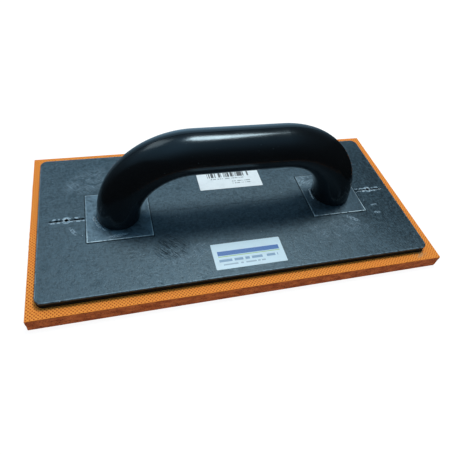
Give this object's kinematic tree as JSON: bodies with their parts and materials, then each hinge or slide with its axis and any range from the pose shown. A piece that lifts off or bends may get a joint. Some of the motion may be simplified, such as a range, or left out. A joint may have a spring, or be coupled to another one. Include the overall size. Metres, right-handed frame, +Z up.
{
  "type": "rubber-faced hand float",
  "caption": "Rectangular plastering hand float with a closed bow handle, a flat plastic plate and an orange cellular rubber face.",
  "frame": {"origin": "centre of the rubber facing's working face, which is the underside and lies on the surface the float stands on", "axes": "+X along the 280 mm length, +Y across the float to its rear long side, +Z up from the working face to the handle; the maker's label is towards -Y"},
  "size_m": [0.28, 0.14, 0.0805],
  "materials": {
    "cellular_rubber": "fine-pored cellular rubber, cloth-imprinted on its large faces and knife-cut on its sides",
    "adhesive": "dried contact adhesive",
    "plate_plastic": "matte moulded, faintly brushed and scuffed",
    "handle_plastic": "gloss moulded",
    "screw_steel": "zinc plated",
    "label_film": "printed film, pale with a plain blue band and thin grey bars",
    "label_paper": "printed paper, white with plain bars"
  },
  "bodies": {
    "root": {"rubber_pad": "cellular_rubber", "adhesive_film": "adhesive", "base_plate": "plate_plastic", "handle_front_shell": "handle_plastic", "handle_rear_shell": "handle_plastic", "handle_screws": "screw_steel", "maker_label": "label_film", "code_label": "label_paper"}
  },
  "joints": []
}
